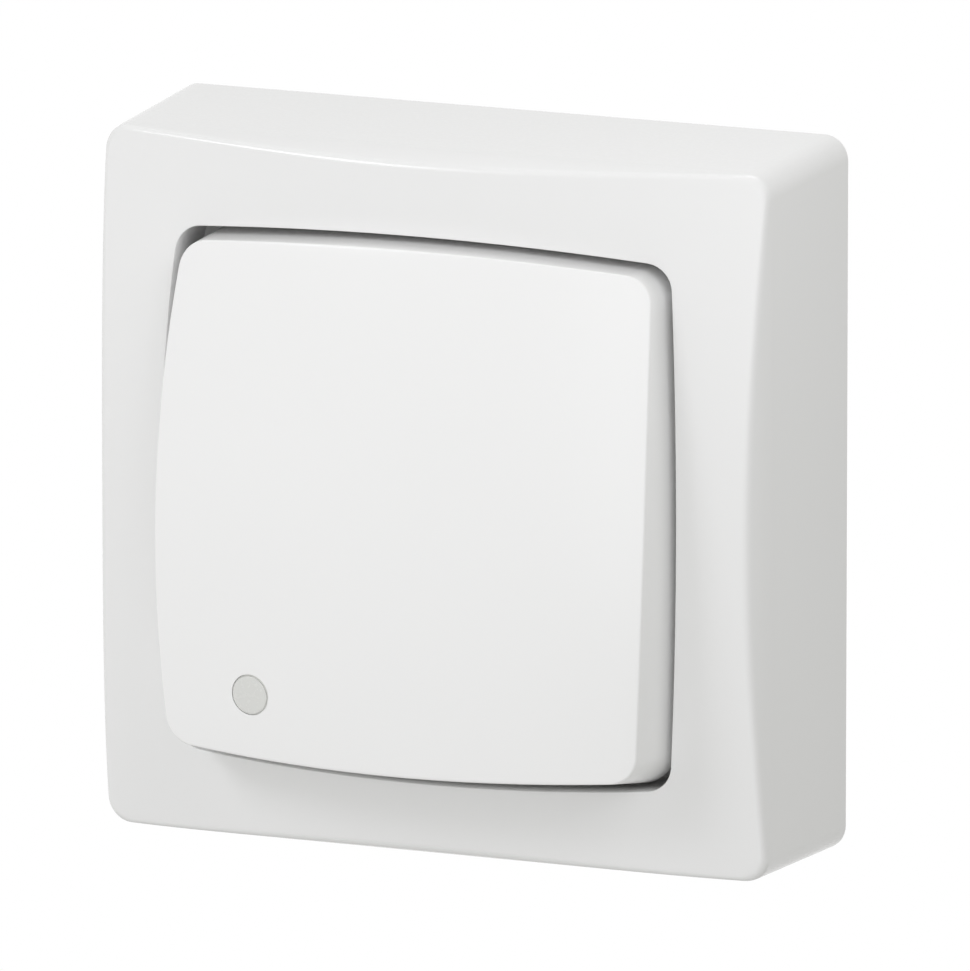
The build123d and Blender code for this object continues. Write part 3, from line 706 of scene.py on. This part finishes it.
# Room: even light from all round, a touch warmer than the lamps. Looked at directly, or in the gloss or
# through the glass of a piece, it is plain white.
scene = bpy.context.scene
scene.view_settings.view_transform = "Standard"
ambient_strength = 0.4
ambient_colour = (1.0, 1.0, 0.95)
backdrop_colour = (1.0, 1.0, 1.0)
world = bpy.data.worlds.new("studio")
world.use_nodes = True
scene.world = world
world_nodes = world.node_tree.nodes
world_link = world.node_tree.links.new
world_nodes.clear()
world_out = world_nodes.new("ShaderNodeOutputWorld")
choice = world_nodes.new("ShaderNodeMixShader")
ambient = world_nodes.new("ShaderNodeBackground")
ambient.inputs["Color"].default_value = (*ambient_colour, 1.0)
ambient.inputs["Strength"].default_value = ambient_strength
backdrop = world_nodes.new("ShaderNodeBackground")
backdrop.inputs["Color"].default_value = (*backdrop_colour, 1.0)
backdrop.inputs["Strength"].default_value = 1.0
rays = world_nodes.new("ShaderNodeLightPath")
seen = world_nodes.new("ShaderNodeMath")
seen.operation = "MAXIMUM"
mirrored = world_nodes.new("ShaderNodeMath")
mirrored.operation = "MAXIMUM"
world_link(rays.outputs["Is Camera Ray"], seen.inputs[0])
world_link(rays.outputs["Is Glossy Ray"], seen.inputs[1])
world_link(seen.outputs["Value"], mirrored.inputs[0])
world_link(rays.outputs["Is Transmission Ray"], mirrored.inputs[1])
world_link(mirrored.outputs["Value"], choice.inputs["Fac"])
world_link(ambient.outputs["Background"], choice.inputs[1])
world_link(backdrop.outputs["Background"], choice.inputs[2])
world_link(choice.outputs["Shader"], world_out.inputs["Surface"])

# Floor: a plain pale sheet, a switch's usual height above the ground below it. It is lifted a little
# towards white where the camera looks at it.
floor_drop = 1.1
floor_half = 1.5
floor_lift = 0.45
floor_mesh = bpy.data.meshes.new("floor")
floor_mesh.from_pydata(
    [(x * floor_half, y * floor_half, -floor_drop) for x, y in ((-1, -1), (1, -1), (1, 1), (-1, 1))],
    [], [(0, 1, 2, 3)],
)
floor_paint = moulded_plastic(
    "floor_paint", (0.80, 0.80, 0.79), (0.78, 0.78, 0.77), gloss=0.6, dull=0.75,
    grain=0.002, relief=0.00001,
)
floor_nodes = floor_paint.node_tree.nodes
floor_link = floor_paint.node_tree.links.new
floor_shader = floor_nodes["Principled BSDF"]
floor_shader.inputs["Emission Color"].default_value = (1.0, 1.0, 1.0, 1.0)
floor_rays = floor_nodes.new("ShaderNodeLightPath")
floor_glow = floor_nodes.new("ShaderNodeMath")
floor_glow.operation = "MULTIPLY"
floor_glow.inputs[1].default_value = floor_lift
floor_link(floor_rays.outputs["Is Camera Ray"], floor_glow.inputs[0])
floor_link(floor_glow.outputs["Value"], floor_shader.inputs["Emission Strength"])
floor_mesh.materials.append(floor_paint)
floor = bpy.data.objects.new("floor", floor_mesh)
scene.collection.objects.link(floor)

# Lamps: three softboxes well away from the switch and three small panels close to it, all out of the
# camera's sight. The panels only fill the shade, so they don't show in the gloss.
lamp_colour = (0.965, 0.965, 1.0)
for name, place, width, power in (
    ("left_softbox", (-0.7, -0.9, 0.85), 0.4, 3.75),
    ("back_softbox", (0.0, 0.5, 1.2), 0.5, 3.0),
    ("front_softbox", (0.5, -1.4, 0.3), 1.2, 2.65),
    ("right_panel", (0.15, -0.12, 0.13), 0.14, 0.137),
    ("left_panel", (-0.155, -0.14, 0.07), 0.18, 0.087),
    ("low_panel", (0.0, -0.14, -0.18), 0.16, 0.09),
):
    lamp = bpy.data.lights.new(name, "AREA")
    lamp.size = width
    lamp.energy = power
    lamp.color = lamp_colour
    holder = bpy.data.objects.new(name, lamp)
    holder.location = place
    holder.visible_camera = False
    holder.visible_glossy = not name.endswith("_panel")
    holder.rotation_mode = "QUATERNION"
    holder.rotation_quaternion = (-Vector(place)).to_track_quat("-Z", "Y")
    scene.collection.objects.link(holder)

# Camera: a long lens far off, to the right of the switch and a little above it, with the switch just off
# the centre of the picture.
camera_azimuth = radians(22.892)
camera_elevation = radians(12.148)
camera_distance = 2.2284
switch_right_of_centre = 0.002626
switch_above_centre = 0.002154
focal_length = 799.4
toward_camera = Vector((
    sin(camera_azimuth) * cos(camera_elevation),
    -cos(camera_azimuth) * cos(camera_elevation),
    sin(camera_elevation),
))
across_picture = Vector((cos(camera_azimuth), sin(camera_azimuth), 0.0))
up_picture = toward_camera.cross(across_picture)
camera_body = bpy.data.cameras.new("camera")
camera_body.lens = focal_length
camera_body.clip_end = 20.0
camera = bpy.data.objects.new("camera", camera_body)
camera.location = (
    toward_camera * camera_distance
    - across_picture * switch_right_of_centre
    - up_picture * switch_above_centre
)
camera.rotation_mode = "QUATERNION"
camera.rotation_quaternion = (-toward_camera).to_track_quat("-Z", "Y")
scene.collection.objects.link(camera)
scene.camera = camera
